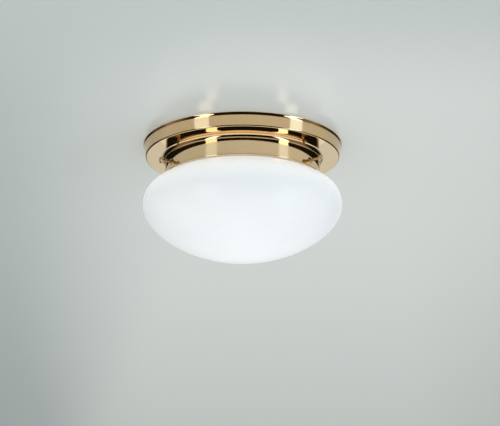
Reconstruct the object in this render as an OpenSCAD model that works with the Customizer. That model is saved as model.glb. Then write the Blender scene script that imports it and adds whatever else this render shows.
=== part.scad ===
// Flush ceiling lamp: a stepped brass canopy, an opal glass shade that three thumb screws hold by
// its neck, and one screw-base bulb that lies on its side. The ceiling is the plane z = 0, the
// lamp's axis is z, and every height below is measured down from the ceiling.

/* [Canopy] */
// Diameter of the foot that meets the ceiling
canopy_d = 250; // [240:1:280]
// Thickness of the spun brass
canopy_wall = 1; // [0.6:0.1:1.4]
// Height of the outer step, from the ceiling to its flat face
step_h = 16.5; // [15:0.5:24]
// Height of the flared foot
foot_h = 2.2; // [1:0.1:4]
// Height of the foot's upright edge
foot_edge = 0.5; // [0.2:0.1:1]
// How far the foot flares out past the wall
foot_flare = 1.5; // [0.5:0.1:3]
// How much the wall of the step narrows on its way down
step_taper = 1.5; // [0:0.1:3]
// Radius of the step's lower edge
step_edge_r = 1.8; // [1.5:0.1:3]
// Width of the step's flat ring, from its edge to the collar
step_w = 25; // [22:0.5:28]
// Height of the collar below the step
collar_h = 26; // [23:0.5:27]
// Radius of the fillet between the step and the collar
collar_fillet_r = 5.5; // [2:0.5:7]
// Radius of the rolled hem at the collar's lower edge
hem_r = 1.2; // [0.9:0.1:1.5]

/* [Shade] */
// Largest diameter of the glass
shade_d = 247; // [236:1:270]
// Thickness of the glass
glass_t = 3; // [2:0.5:4]
// Depth of the bowl below the widest point
bowl_h = 67.5; // [60:0.5:90]
// Height at which the shoulder's curve would close above the widest point
shoulder_h = 48; // [42:1:60]
// Fullness of the bowl's curve, where 2 is an ellipse
bowl_fullness = 1.8; // [1.7:0.05:2.4]
// Fullness of the shoulder's curve, where 2 is an ellipse
shoulder_fullness = 2.5; // [2.2:0.05:3]
// Gap between the collar and the neck of the glass
neck_gap = 13; // [11:0.5:16]
// Radius of the turn from the shoulder into the neck
neck_turn_r = 3.5; // [2:0.5:5]
// How far the lip flares out past the neck
lip_flare = 3.2; // [2:0.1:4]
// Height of the lip's rounded top
lip_h = 2; // [1:0.5:3]

/* [Thumb screws] */
// Diameter of the screws' threaded shank
screw_d = 4; // [3:0.5:5]
// Distance from the step's flat face down to the screws' axis
screw_drop = 17.5; // [14:0.5:18]
// Length of bare shank between the collar and the knob
shank_free = 11.5; // [11:0.5:16]
// Diameter of the knurled knob
knob_d = 8; // [7:0.5:11]
// Length of the knob
knob_len = 4; // [3.5:0.5:8]
// Diameter of the threaded bush in the collar
bush_d = 7; // [6:0.5:8]
// How far a screw backs out to free the shade
screw_travel = 10.5; // [8:0.5:11]
// How far the shade drops while the screws back out
shade_drop = 24; // [18:1:30]

/* [Mounting plate] */
// Thickness of the plate
plate_t = 1.5; // [1:0.5:2]
// Width of the sloping part between the rim and the flat middle
plate_slope_w = 14; // [10:1:16]
// Diameter of the circle of ceiling screws
ceiling_pcd = 120; // [112:1:132]
// Diameter of the holes for the ceiling screws
ceiling_hole_d = 5.5; // [4.5:0.5:6.5]
// Diameter of the studs that hold the plate in the canopy
stud_d = 4; // [3:0.5:5]
// Diameter of the cable hole in the grommet
cable_hole_d = 10; // [7:0.5:12]
// Thickness of the rubber round the cable hole
grommet_t = 4; // [3:0.5:5]

/* [Lampholder] */
// Depth of the bulb's axis below the ceiling
bulb_drop = 62; // [60:1:68]
// Diameter of the porcelain body
holder_d = 43; // [42:0.5:46]
// Length of the porcelain body
holder_len = 36; // [34:1:40]
// Thickness of the porcelain behind the socket
holder_back_t = 11; // [11:0.5:13]
// Thickness of the bracket's steel strip
bracket_t = 2; // [1.5:0.5:2.5]
// Width of the bracket's steel strip
bracket_w = 30; // [28:1:32]
// Length of the bracket's foot under the plate
bracket_foot = 26; // [22:1:28]

/* [Bulb] */
// Largest diameter of the bulb
bulb_d = 60; // [45:1:62]
// Length of the bulb from its contact to its tip
bulb_len = 105; // [96:1:112]
// Thread diameter of the bulb's cap
cap_d = 26.2; // [26:0.1:26.4]
// Thread pitch of the bulb's cap
cap_pitch = 3.6; // [3.4:0.1:3.8]
// Thickness of the bulb's glass
bulb_glass_t = 0.8; // [0.6:0.1:1]

/* [Terminals and wires] */
// Diameter of a wire over its insulation
wire_d = 2.6; // [2.2:0.1:2.8]
// Distance between the poles of the terminal block
pole_pitch = 10; // [9:0.5:12]
// Length of the terminal block along its wires
block_len = 18; // [16:1:22]
// Height of the terminal block
block_h = 14; // [13:0.5:16]

/* [Hidden] */
$fn = 96;

// Gap between a seated piece and its seat
seat_gap = 0.3;
// Radial gap of a screw, a pin or a sleeve in its hole
thread_gap = 0.05;
// Overshoot that lets a cut pass through a face
cut = 0.5;

// Canopy
foot_r = canopy_d / 2;
wall_top_r = foot_r - foot_flare;
step_r = wall_top_r - step_taper;
collar_r = step_r - step_w;
collar_in_r = collar_r - canopy_wall;
step_z = -step_h;
step_back_z = step_z + canopy_wall;
collar_end_z = step_z - collar_h;
hem_top_z = collar_end_z + 2.4 * hem_r;

// Thumb screws
screw_z = step_z - screw_drop;
screw_r = screw_d / 2;
bore_r = screw_r + thread_gap;
bush_r = bush_d / 2;
bush_flange_r = bush_r + 0.7;
bush_flange_t = 1.5;
bush_proud = 1.4;
bush_seat = sqrt(pow(collar_in_r, 2) - pow(bush_flange_r, 2)) - thread_gap;
tip_chamfer = 0.6;
knob_r = knob_d / 2;
knob_in = collar_r + shank_free;
knob_out = knob_in + knob_len;
knob_shoulder_t = 0.8;
knob_shoulder_r = screw_r + 1.2;
knob_chamfer = 0.5;
knob_bore_end = knob_out - 1.6;

// Shade
shade_r = shade_d / 2;
neck_r = collar_r - neck_gap;
neck_in_r = neck_r - glass_t;
tip_r = neck_r + seat_gap;
lip_slope = shade_drop / screw_travel;
lip_start_z = screw_z + screw_r;
lip_end_z = lip_start_z + lip_flare * lip_slope;
lip_r = neck_r + lip_flare;
lip_top_z = lip_end_z + lip_h;
lip_edge_r = min(lip_h, glass_t / 2) * 0.8;
turn_c = [neck_r + neck_turn_r, screw_z - screw_r - 1.1];
join_r = neck_r + neck_turn_r * 0.72;
join_slope = atan(shoulder_h / shade_r * pow(join_r / shade_r, shoulder_fullness - 1)
    * pow(1 - pow(join_r / shade_r, shoulder_fullness), 1 / shoulder_fullness - 1));
shade_z = turn_c[1] - neck_turn_r * cos(join_slope)
    - rise(turn_c[0] - neck_turn_r * sin(join_slope), shade_r, shoulder_h);
curve_steps = 14;

// Mounting plate
plate_rim_r = step_r - canopy_wall - 3;
plate_seat_r = collar_r + collar_fillet_r + 1;
plate_flat_r = plate_seat_r - plate_slope_w;
plate_under_z = -plate_t;
stud_circle_r = (plate_rim_r + plate_seat_r) / 2;
stud_r = stud_d / 2;
washer_t = 0.8;
washer_r = stud_r + 2.5;
nut_h = 0.8 * stud_d;
nut_af = 1.75 * stud_d;
stud_end_z = step_back_z + plate_t + washer_t + nut_h + 1;
grommet_r = cable_hole_d / 2 + grommet_t;
grommet_flange = 3;

// Lampholder: the bulb's axis runs along x
bulb_z = -bulb_drop;
holder_r = holder_d / 2;
holder_back_x = -(neck_in_r - 7);
holder_mouth_x = holder_back_x + holder_len;
socket_x = holder_back_x + holder_back_t;
cap_r = cap_d / 2;
shell_in_r = cap_r + 2 * thread_gap;
shell_t = 0.6;
shell_r = shell_in_r + shell_t;
shell_hole_r = 7;
bracket_x = holder_back_x - bracket_t;
bracket_end_z = bulb_z - 17;
foot_end_x = bracket_x + bracket_foot;
fix_screw_r = 2;
fix_head_r = 3.5;
fix_head_h = 2.2;
foot_screw_y = 9;
foot_screw_x = foot_end_x - 7;
holder_screw_y = 10;
holder_screw_z = bulb_z - 8;
holder_screw_r = 1.75;
holder_screw_head_r = 3.2;
terminal_y = 11;
terminal_w = 7;
terminal_x = holder_back_x + holder_back_t / 2;
terminal_len = 6;
terminal_top_z = bulb_z + 16.5;
terminal_low_z = bulb_z + 6;
terminal_wire_r = wire_d / 2 + 0.2;
small_screw_r = 1.25;
small_head_r = 1.9;
clamp_z = terminal_top_z - 4.5;

// Bulb: distances run from its contact's tip
tip_x = socket_x + 3.5;
contact_h = 1.5;
insulator_end = 5.5;
cap_shoulder = 7;
skirt_start = 24;
cap_end = 27;
skirt_r = cap_r + 0.9;
cap_t = 0.4;
cap_thread_depth = 0.9;
bulb_r = bulb_d / 2;
bulb_centre = bulb_len - bulb_r;
bulb_neck_r = skirt_r - cap_t - 2 * thread_gap;
bulb_neck_end = 31;
stem_r = 3;
stem_end = bulb_centre - 18;
filament_r = 11;
filament_at = bulb_centre - 3;
lead_r = 0.5;

// Terminal block, with its poles side by side along y
block_x = -1;
block_y = 36;
block_w = 3 * pole_pitch + 2;
block_end_x = block_x - block_len;
block_mid_x = block_x - block_len / 2;
pole_z = plate_under_z - 6.5;
sleeve_r = 2.6;
sleeve_hole_r = wire_d / 2 + 0.2;
sleeve_len = block_len - 2;
screw_spread = block_len / 2 - 4;
block_screw_y = block_y + pole_pitch / 2;
block_screw_r = 1.4;
block_screw_head_r = 2.4;
head_recess = 2;

// Earth screw on the plate
earth_x = -44;
earth_y = block_y + pole_pitch + 2;
lug_t = 1;
lug_r = 4.2;
barrel_r = wire_d / 2 + 0.9;
barrel_from = earth_x + 6;
barrel_len = 6;
barrel_z = plate_under_z - barrel_r;

// How far a wire's end reaches into its terminal
wire_in = 4;

function arc(c, r, from, to, steps) =
    [for (i = [0 : steps]) let (a = from + (to - from) * i / steps) c + r * [cos(a), sin(a)]];

// Height of the shoulder's curve above its widest point, at radius r
function rise(r, wide, high) =
    high * pow(1 - pow(r / wide, shoulder_fullness), 1 / shoulder_fullness);

// Quarter of a full curve, from the axis at a = 0 to the widest point at a = 90
function curve_point(a, wide, high, fullness) =
    [wide * pow(sin(a), 2 / fullness), high * pow(cos(a), 2 / fullness)];

// One face of the glass, from the bottom up to the neck's lip, moved in by inset
function shade_face(inset) =
    let (wide = shade_r - inset)
    let (turn = neck_turn_r + inset)
    let (end_r = turn_c[0] - turn * sin(join_slope))
    let (end_a = asin(pow(end_r / wide, shoulder_fullness / 2)))
    concat(
        [for (i = [0 : curve_steps]) let (a = 90 * i / curve_steps)
            let (p = curve_point(a, wide, bowl_h - inset, bowl_fullness))
            [p[0], shade_z - p[1]]],
        [for (i = [1 : curve_steps - 1]) let (a = 90 - (90 - end_a) * i / curve_steps)
            let (p = curve_point(a, wide, shoulder_h - inset, shoulder_fullness))
            [p[0], shade_z + p[1]]],
        arc(turn_c, turn, 270 - join_slope, 180, 5),
        [[neck_r - inset, lip_start_z], [lip_r - inset, lip_end_z]]
    );

function reversed(list) = [for (i = [len(list) - 1 : -1 : 0]) list[i]];

// Smooth path through the chosen points of a wire
function path_point(p, i, t) =
    let (a = p[max(i - 1, 0)])
    let (b = p[i])
    let (c = p[i + 1])
    let (d = p[min(i + 2, len(p) - 1)])
    0.5 * (2 * b + (c - a) * t + (2 * a - 5 * b + 4 * c - d) * t * t
        + (3 * b - a - 3 * c + d) * t * t * t);

function smooth_path(p, steps) = concat(
    [for (i = [0 : len(p) - 2]) for (s = [0 : steps - 1]) path_point(p, i, s / steps)],
    [p[len(p) - 1]]);

function unit(v) = v / norm(v);

// A tube of radius r along a path that never runs straight along y
module tube_along(path, r) {
    sides = 8;
    last = len(path) - 1;
    rings = [for (i = [0 : last])
        let (ahead = unit(path[min(i + 1, last)] - path[max(i - 1, 0)]))
        let (across = unit(cross([0, 1, 0], ahead)))
        let (up = cross(ahead, across))
        for (k = [0 : sides - 1]) path[i] + r * (cos(360 * k / sides) * across
            + sin(360 * k / sides) * up)];
    walls = [for (i = [0 : last - 1]) for (k = [0 : sides - 1])
        let (a = i * sides + k)
        let (b = i * sides + (k + 1) % sides)
        for (face = [[a, b + sides, b], [a, a + sides, b + sides]]) face];
    ends = [
        [for (k = [0 : sides - 1]) k],
        [for (k = [sides - 1 : -1 : 0]) last * sides + k]];
    polyhedron(points = rings, faces = concat(walls, ends), convexity = 6);
}

module tube(outer_r, inner_r, h) {
    difference() {
        cylinder(r = outer_r, h = h);
        translate([0, 0, -cut]) cylinder(r = inner_r, h = h + 2 * cut);
    }
}

// Stands a child on the screw's axis, so that its z runs outward from the lamp's axis
module at_screw(number) {
    rotate([0, 0, -150 + 120 * (number - 1)])
        translate([0, 0, screw_z])
            rotate([0, 90, 0]) children();
}

module at_studs() {
    for (turn = [-90, 30, 150])
        rotate([0, 0, turn]) translate([stud_circle_r, 0, 0]) children();
}

module on_bulb_axis() {
    translate([0, 0, bulb_z]) rotate([0, 90, 0]) children();
}

// Pan-head screw whose head's underside is at z = 0 and whose shank points up
module pan_screw(shank_r, shank_len, head_r, head_h) {
    cylinder(r = shank_r, h = shank_len);
    difference() {
        translate([0, 0, -head_h]) cylinder(r1 = head_r - 0.6, r2 = head_r, h = head_h);
        translate([-head_r, -0.4, -head_h - cut]) cube([2 * head_r, 0.8, cut + head_h / 2]);
    }
}

module canopy() {
    color("#C9A063")
    difference() {
        rotate_extrude() polygon(concat(
            [[foot_r, 0], [foot_r, -foot_edge], [wall_top_r, -foot_edge - foot_h]],
            arc([step_r - step_edge_r, step_z + step_edge_r], step_edge_r, 0, -90, 6),
            arc([collar_r + collar_fillet_r, step_z - collar_fillet_r], collar_fillet_r, 90, 180, 8),
            arc([collar_r - hem_r, collar_end_z + hem_r], hem_r, 0, -180, 8),
            [[collar_r - 2 * hem_r, hem_top_z - hem_r], [collar_in_r, hem_top_z]],
            arc([collar_r + collar_fillet_r, step_z - collar_fillet_r],
                collar_fillet_r + canopy_wall, 180, 90, 8),
            arc([step_r - step_edge_r, step_z + step_edge_r], step_edge_r - canopy_wall, -90, 0, 4),
            [[wall_top_r - canopy_wall, -foot_edge - foot_h], [foot_r - canopy_wall, -foot_edge],
                [foot_r - canopy_wall, 0]]));
        for (number = [1 : 3])
            at_screw(number) translate([0, 0, collar_in_r - 3]) cylinder(r = bush_r, h = 8);
    }
}

module screw_bushes() {
    color("#B98E52")
    for (number = [1 : 3])
        at_screw(number) translate([0, 0, bush_seat]) {
            translate([0, 0, -bush_flange_t]) tube(bush_flange_r, bore_r, bush_flange_t);
            tube(bush_r - thread_gap, bore_r, collar_r + bush_proud - bush_seat);
        }
}

module plate_studs() {
    color("#B98E52")
    at_studs() translate([0, 0, step_back_z]) cylinder(r = stud_r, h = stud_end_z - step_back_z);
}

module base_plate() {
    color("#E9EAE6")
    difference() {
        rotate_extrude() polygon([
            [0, plate_under_z], [plate_flat_r, plate_under_z], [plate_seat_r, step_back_z],
            [plate_rim_r, step_back_z], [plate_rim_r, step_back_z + plate_t],
            [plate_seat_r + plate_t / 2, step_back_z + plate_t], [plate_flat_r + plate_t / 2, 0],
            [0, 0]]);
        for (turn = [90, 210, 330])
            rotate([0, 0, turn]) translate([ceiling_pcd / 2, 0, -2 * plate_t])
                cylinder(r = ceiling_hole_d / 2, h = 3 * plate_t);
        at_studs() translate([0, 0, step_back_z - cut])
            cylinder(r = stud_r + 0.3, h = plate_t + 2 * cut);
        translate([0, 0, -2 * plate_t]) cylinder(r = grommet_r, h = 3 * plate_t);
        for (side = [-1, 1])
            translate([foot_screw_x, side * foot_screw_y, -2 * plate_t])
                cylinder(r = fix_screw_r + thread_gap, h = 3 * plate_t);
        translate([block_mid_x, block_screw_y, -2 * plate_t])
            cylinder(r = block_screw_r + thread_gap, h = 3 * plate_t);
        translate([earth_x, earth_y, -2 * plate_t])
            cylinder(r = fix_screw_r + thread_gap, h = 3 * plate_t);
    }
}

module plate_washers() {
    color("#BFC3C4")
    at_studs() translate([0, 0, step_back_z + plate_t]) tube(washer_r, stud_r + 0.2, washer_t);
}

module plate_nuts() {
    color("#BFC3C4")
    at_studs() translate([0, 0, step_back_z + plate_t + washer_t]) difference() {
        cylinder(d = nut_af / cos(30), h = nut_h, $fn = 6);
        translate([0, 0, -cut]) cylinder(r = stud_r + thread_gap, h = nut_h + 2 * cut);
    }
}

module cable_grommet() {
    color("#3A3A3C")
    translate([0, 0, plate_under_z]) difference() {
        union() {
            cylinder(r = grommet_r - thread_gap, h = plate_t);
            translate([0, 0, -plate_t]) cylinder(r = grommet_r + grommet_flange, h = plate_t);
        }
        translate([0, 0, -2 * plate_t]) cylinder(r = cable_hole_d / 2, h = 4 * plate_t);
    }
}

module holder_bracket() {
    color("#AEB4B6")
    difference() {
        union() {
            translate([bracket_x, -bracket_w / 2, bracket_end_z])
                cube([bracket_t, bracket_w, plate_under_z - bracket_end_z]);
            translate([bracket_x, -bracket_w / 2, plate_under_z - bracket_t])
                cube([bracket_foot, bracket_w, bracket_t]);
        }
        for (side = [-1, 1]) {
            translate([foot_screw_x, side * foot_screw_y, plate_under_z - bracket_t - cut])
                cylinder(r = fix_screw_r + 0.2, h = bracket_t + 2 * cut);
            translate([bracket_x - cut, side * holder_screw_y, holder_screw_z])
                rotate([0, 90, 0]) cylinder(r = holder_screw_r + 0.2, h = bracket_t + 2 * cut);
        }
    }
}

module bracket_screws() {
    color("#C9CCCD")
    for (side = [-1, 1])
        translate([foot_screw_x, side * foot_screw_y, plate_under_z - bracket_t])
            pan_screw(fix_screw_r, bracket_t + plate_t - 0.2, fix_head_r, fix_head_h);
}

module holder_body() {
    color("#F2F0EA")
    difference() {
        on_bulb_axis() rotate_extrude() polygon(concat(
            [[0, holder_back_x], [holder_r - 1, holder_back_x], [holder_r, holder_back_x + 1]],
            arc([holder_r - 3, holder_mouth_x - 3], 3, 0, 90, 6),
            [[shell_r + thread_gap, holder_mouth_x], [shell_r + thread_gap, socket_x],
                [0, socket_x]]));
        for (side = [-1, 1]) {
            translate([terminal_x - terminal_len / 2 - 0.2,
                side * terminal_y - terminal_w / 2 - 0.2, terminal_low_z])
                cube([terminal_len + 0.4, terminal_w + 0.4, holder_r]);
            translate([terminal_x, side * terminal_y, clamp_z])
                rotate([-90 * side, 0, 0]) cylinder(r = small_head_r + 0.4, h = holder_r);
            translate([holder_back_x - cut, side * holder_screw_y, holder_screw_z])
                rotate([0, 90, 0]) cylinder(r = holder_screw_r + thread_gap,
                    h = holder_back_t - 1.5 + cut);
        }
    }
}

module holder_shell() {
    color("#C8A468")
    on_bulb_axis() {
        translate([0, 0, socket_x]) tube(shell_r, shell_in_r, holder_len - holder_back_t - 1);
        translate([0, 0, socket_x]) tube(shell_r, shell_hole_r, shell_t);
    }
}

module holder_contact() {
    strip_t = 0.5;
    strip_w = 6;
    reach = 5.5;
    top_x = tip_x - seat_gap;
    color("#C8A468")
    translate([0, 0, bulb_z - strip_w / 2]) linear_extrude(height = strip_w) polygon([
        [socket_x, reach], [socket_x, -reach], [socket_x + 2 * strip_t, -reach],
        [top_x, -1.5], [top_x, 2.5], [top_x - strip_t, 2.5], [top_x - strip_t, -1],
        [socket_x + 1.6 * strip_t, -reach + 1.4], [socket_x + strip_t, -reach + 1.4],
        [socket_x + strip_t, reach]]);
}

module holder_terminals() {
    color("#C8A468")
    for (side = [-1, 1])
        difference() {
            translate([terminal_x - terminal_len / 2, side * terminal_y - terminal_w / 2,
                terminal_low_z])
                cube([terminal_len, terminal_w, terminal_top_z - terminal_low_z]);
            translate([terminal_x, side * terminal_y, terminal_low_z + 2])
                cylinder(r = terminal_wire_r, h = terminal_top_z - terminal_low_z);
            translate([terminal_x, side * terminal_y, clamp_z])
                rotate([-90 * side, 0, 0])
                    cylinder(r = small_screw_r + thread_gap, h = terminal_w);
        }
}

module holder_terminal_screws() {
    color("#C9CCCD")
    for (side = [-1, 1])
        translate([terminal_x, side * (terminal_y + terminal_w / 2 + 1), clamp_z])
            rotate([90 * side, 0, 0])
                pan_screw(small_screw_r, terminal_w / 2 - wire_d / 2 + 0.9, small_head_r, 1.4);
}

module holder_screws() {
    color("#C9CCCD")
    for (side = [-1, 1])
        translate([bracket_x, side * holder_screw_y, holder_screw_z])
            rotate([0, 90, 0])
                pan_screw(holder_screw_r, bracket_t + holder_back_t - 2, holder_screw_head_r, 2);
}

module at_poles() {
    for (pole = [-1 : 1])
        translate([block_mid_x, block_y + pole * pole_pitch, pole_z]) children();
}

module terminal_block() {
    color("#EDEBE3")
    difference() {
        translate([block_end_x, block_y - block_w / 2, plate_under_z - block_h])
            cube([block_len, block_w, block_h]);
        at_poles() {
            rotate([0, 90, 0]) cylinder(r = sleeve_r + thread_gap, h = 2 * block_len, center = true);
            for (side = [-1, 1])
                translate([side * screw_spread, 0, -block_h]) cylinder(r = small_head_r + 0.4,
                    h = block_h);
        }
        for (groove = [-1, 1])
            translate([block_mid_x, block_y + groove * pole_pitch / 2, plate_under_z - block_h])
                cube([2 * block_len, 1.6, 5], center = true);
        translate([block_mid_x, block_screw_y, plate_under_z - block_h - cut]) {
            cylinder(r = block_screw_r + 0.2, h = block_h + 2 * cut);
            cylinder(r = block_screw_head_r + 0.3, h = head_recess + 2.5 + cut);
        }
    }
}

module terminal_sleeves() {
    color("#C8A468")
    at_poles() difference() {
        rotate([0, 90, 0]) cylinder(r = sleeve_r, h = sleeve_len, center = true);
        rotate([0, 90, 0]) cylinder(r = sleeve_hole_r, h = 2 * sleeve_len, center = true);
        for (side = [-1, 1])
            translate([side * screw_spread, 0, -2 * sleeve_r])
                cylinder(r = small_screw_r + thread_gap, h = 2 * sleeve_r);
    }
}

module terminal_screws() {
    color("#C9CCCD")
    at_poles()
        for (side = [-1, 1])
            translate([side * screw_spread, 0, -sleeve_r - 1])
                pan_screw(small_screw_r, sleeve_r + 1 - wire_d / 2 - 0.1, small_head_r, 1.4);
}

module terminal_block_screw() {
    head_z = plate_under_z - block_h + head_recess + 2.5;
    color("#C9CCCD")
    translate([block_mid_x, block_screw_y, head_z])
        pan_screw(block_screw_r, -0.2 - head_z, block_screw_head_r, head_recess);
}

module earth_screw() {
    color("#C9CCCD")
    translate([earth_x, earth_y, plate_under_z - lug_t - washer_t])
        pan_screw(fix_screw_r, plate_t + lug_t + washer_t - 0.2, fix_head_r, fix_head_h);
}

module earth_washer() {
    color("#C9CCCD")
    translate([earth_x, earth_y, plate_under_z - lug_t - washer_t]) difference() {
        tube(fix_head_r + 0.6, fix_screw_r + 0.2, washer_t);
        for (tooth = [0 : 7])
            rotate([0, 0, 45 * tooth]) translate([fix_head_r + 0.1, -0.3, -cut])
                cube([2, 0.6, washer_t + 2 * cut]);
    }
}

module earth_lug() {
    color("#CFC7B0")
    difference() {
        union() {
            translate([earth_x, earth_y, plate_under_z - lug_t]) cylinder(r = lug_r, h = lug_t);
            translate([earth_x, earth_y - lug_r / 2, plate_under_z - lug_t])
                cube([barrel_from - earth_x + 1, lug_r, lug_t]);
            translate([barrel_from, earth_y, barrel_z]) rotate([0, 90, 0])
                cylinder(r = barrel_r, h = barrel_len);
        }
        translate([earth_x, earth_y, plate_under_z - lug_t - cut])
            cylinder(r = fix_screw_r + 0.2, h = lug_t + 2 * cut);
        translate([barrel_from + 1, earth_y, barrel_z]) rotate([0, 90, 0])
            cylinder(r = wire_d / 2 + 0.1, h = barrel_len);
    }
}

// The wires leave the block towards -x and drop into the lampholder from above
module live_wire() {
    y = block_y - pole_pitch;
    color("#6B3F26")
    tube_along(smooth_path([
        [block_end_x + wire_in, y, pole_z], [block_end_x + 1, y, pole_z],
        [block_end_x - wire_in, y, pole_z], [terminal_x + 28, y - 2, pole_z - 4],
        [terminal_x + 12, terminal_y + 6, pole_z - 12],
        [terminal_x + 2, terminal_y + 1, terminal_top_z + 13],
        [terminal_x, terminal_y, terminal_top_z + wire_in],
        [terminal_x, terminal_y, terminal_top_z - wire_in / 2]], 5), wire_d / 2);
}

module neutral_wire() {
    y = block_y;
    color("#2F5FA8")
    tube_along(smooth_path([
        [block_end_x + wire_in, y, pole_z], [block_end_x + 1, y, pole_z],
        [block_end_x - wire_in, y, pole_z], [terminal_x + 30, y - 5, pole_z - 3],
        [terminal_x + 12, terminal_y - 1, pole_z - 4], [terminal_x + 2, -4, pole_z - 12],
        [terminal_x + 1, -terminal_y, terminal_top_z + 13],
        [terminal_x, -terminal_y, terminal_top_z + wire_in],
        [terminal_x, -terminal_y, terminal_top_z - wire_in / 2]], 5), wire_d / 2);
}

module earth_wire() {
    y = block_y + pole_pitch;
    color("#6E9A2E")
    tube_along(smooth_path([
        [block_end_x + wire_in, y, pole_z], [block_end_x - 3, y, pole_z],
        [(block_end_x + barrel_from + barrel_len) / 2 - 2, y + 1, barrel_z - 2],
        [barrel_from + barrel_len, earth_y, barrel_z],
        [barrel_from + barrel_len - 2, earth_y, barrel_z], [barrel_from + 2, earth_y, barrel_z]],
        5), wire_d / 2);
}

module shade() {
    lip_c = [lip_r - lip_edge_r, lip_top_z - lip_edge_r];
    lip_in_c = [lip_r - glass_t + lip_edge_r, lip_top_z - lip_edge_r];
    color("#F4F6F5")
    rotate_extrude() polygon(concat(
        shade_face(0),
        arc(lip_c, lip_edge_r, 0, 90, 4),
        arc(lip_in_c, lip_edge_r, 90, 180, 4),
        reversed(shade_face(glass_t))));
}

module screw_stud(number) {
    color("#C9A063")
    at_screw(number) rotate_extrude() polygon([
        [0, tip_r], [screw_r - tip_chamfer, tip_r], [screw_r, tip_r + tip_chamfer],
        [screw_r, knob_bore_end - 0.2], [0, knob_bore_end - 0.2]]);
}

module screw_knob(number) {
    color("#C9A063")
    at_screw(number) rotate_extrude() polygon([
        [bore_r, knob_in], [knob_shoulder_r, knob_in],
        [knob_shoulder_r, knob_in + knob_shoulder_t],
        [knob_r - knob_chamfer, knob_in + knob_shoulder_t],
        [knob_r, knob_in + knob_shoulder_t + knob_chamfer],
        [knob_r, knob_out - knob_chamfer], [knob_r - knob_chamfer, knob_out], [0, knob_out],
        [0, knob_bore_end], [bore_r, knob_bore_end]]);
}

// Stands a child on the bulb's axis with its z = 0 at the tip of the bulb's contact
module at_bulb() {
    on_bulb_axis() translate([0, 0, tip_x]) children();
}

// Rolled thread of the bulb's cap, as rings, moved in by inset
function cap_thread(inset) =
    [for (i = [0 : floor(6 * (skirt_start - cap_shoulder) / cap_pitch)])
        [cap_r - inset - cap_thread_depth * (1 - cos(60 * i)) / 2, cap_shoulder + i * cap_pitch / 6]];

module bulb_cap() {
    color("#C9CCCD")
    at_bulb() rotate_extrude() polygon(concat(
        [[cap_r - 2.2, insulator_end]],
        cap_thread(0),
        [[skirt_r, skirt_start + 0.8], [skirt_r, cap_end], [skirt_r - cap_t, cap_end],
            [skirt_r - cap_t, skirt_start + 0.8 + cap_t]],
        reversed(cap_thread(cap_t)),
        [[cap_r - 2.2 - cap_t, insulator_end]]));
}

module bulb_insulator() {
    color("#1E1E22")
    at_bulb() rotate_extrude() polygon([
        [0, contact_h], [6, contact_h], [cap_r - 2.7, insulator_end],
        [cap_r - 2.7, insulator_end + 1], [0, insulator_end + 1]]);
}

module bulb_contact() {
    color("#B7B9BA")
    at_bulb() rotate_extrude() polygon([
        [0, 0], [3.6, 0], [4.8, 0.5], [4.8, contact_h], [0, contact_h]]);
}

// Outline of the bulb's glass from its neck to its tip, moved in by inset
function bulb_face(inset) = concat(
    [[bulb_neck_r - inset, skirt_start + 1.5], [bulb_neck_r - inset, bulb_neck_end]],
    [for (i = [1 : 5]) let (t = i / 6)
        [bulb_neck_r - inset + (bulb_r * 0.94 - bulb_neck_r) * (1 - cos(180 * t)) / 2,
            bulb_neck_end + (bulb_centre - bulb_r * 0.34 - bulb_neck_end) * t]],
    arc([0, bulb_centre], bulb_r - inset, -20, 90, 12));

module bulb_envelope() {
    color("#F3F5F4")
    at_bulb() rotate_extrude() polygon(concat(bulb_face(0), reversed(bulb_face(bulb_glass_t))));
}

module bulb_stem() {
    color("#E4EEF0")
    at_bulb() rotate_extrude() polygon([
        [0, skirt_start + 1.5], [bulb_neck_r - bulb_glass_t - thread_gap, skirt_start + 1.5],
        [bulb_neck_r - bulb_glass_t - thread_gap, skirt_start + 2.5], [stem_r, skirt_start + 12],
        [stem_r, stem_end - 2], [stem_r - 1, stem_end], [0, stem_end]]);
}

// Two bent wires that carry the filament, from the stem's end
module bulb_leads() {
    color("#9A9C9E")
    at_bulb() for (side = [-1, 1])
        tube_along(smooth_path([
            [side * 1.2, 0, stem_end + seat_gap], [side * 1.2, 0, stem_end + 2],
            [side * (filament_r - 1), 0.2, filament_at - 5],
            [side * filament_r, 0, filament_at - 1.5],
            [side * filament_r, 0, filament_at - lead_r - thread_gap]], 4), lead_r);
}

module bulb_filament() {
    color("#D9C8A4")
    at_bulb() translate([0, 0, filament_at])
        rotate_extrude(angle = 180) translate([filament_r, 0]) circle(r = lead_r, $fn = 24);
}

canopy();
screw_bushes();
plate_studs();
base_plate();
plate_washers();
plate_nuts();
cable_grommet();
holder_bracket();
bracket_screws();
holder_body();
holder_shell();
holder_contact();
holder_terminals();
holder_terminal_screws();
holder_screws();
terminal_block();
terminal_sleeves();
terminal_screws();
terminal_block_screw();
earth_screw();
earth_washer();
earth_lug();
live_wire();
neutral_wire();
earth_wire();
shade();
screw_stud(1);  // screw_stud_1
screw_stud(2);  // screw_stud_2
screw_stud(3);  // screw_stud_3
screw_knob(1);  // screw_knob_1
screw_knob(2);  // screw_knob_2
screw_knob(3);  // screw_knob_3
bulb_cap();
bulb_insulator();
bulb_contact();
bulb_envelope();
bulb_stem();
bulb_leads();
bulb_filament();
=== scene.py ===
import math

import bmesh
import bpy
from mathutils import Matrix, Vector


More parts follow.
